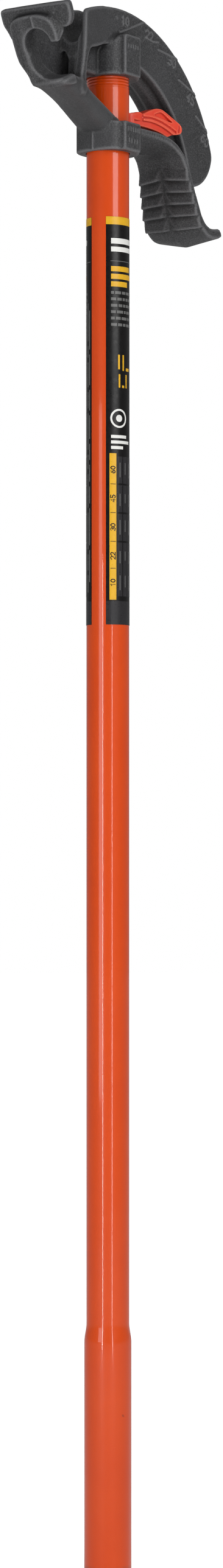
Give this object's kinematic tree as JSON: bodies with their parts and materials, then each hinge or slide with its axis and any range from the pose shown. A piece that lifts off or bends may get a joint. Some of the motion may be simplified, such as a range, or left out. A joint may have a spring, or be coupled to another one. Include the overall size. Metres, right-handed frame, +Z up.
{
  "type": "conduit bender",
  "caption": "Hand conduit bender: iron bending head with hook, foot pedal and degree marks, threaded on a long pipe handle with a flared end, and a swing-out angle setter.",
  "frame": {"origin": "centre of the handle's open lower end, on the pipe's axis", "axes": "+Z up the handle to the head, +X to the foot pedal with the hook at -X, and the marked side of the shoe faces -Y"},
  "size_m": [0.1859, 0.0504, 0.972],
  "materials": {
    "cast_iron_head": "dark grey coated casting with a sandy texture",
    "orange_handle": "glossy orange paint",
    "printed_label": "glossy printed film, black with yellow and white print",
    "orange_plastic": "satin red-orange plastic",
    "screw_steel": "zinc-plated"
  },
  "bodies": {
    "bender": {"bender_head": "cast_iron_head", "handle_tube": "orange_handle", "handle_label": "printed_label", "pivot_screw": "screw_steel", "top_washer": "screw_steel", "friction_washer": "screw_steel"},
    "setter": {"angle_setter": "orange_plastic"}
  },
  "joints": [
    {"name": "setter_swing", "type": "hinge", "parent": "bender", "child": "setter", "pos_m": [0.022, 0, 0.907], "axis": [0, 0, -1], "range_deg": [0, 75]}
  ]
}
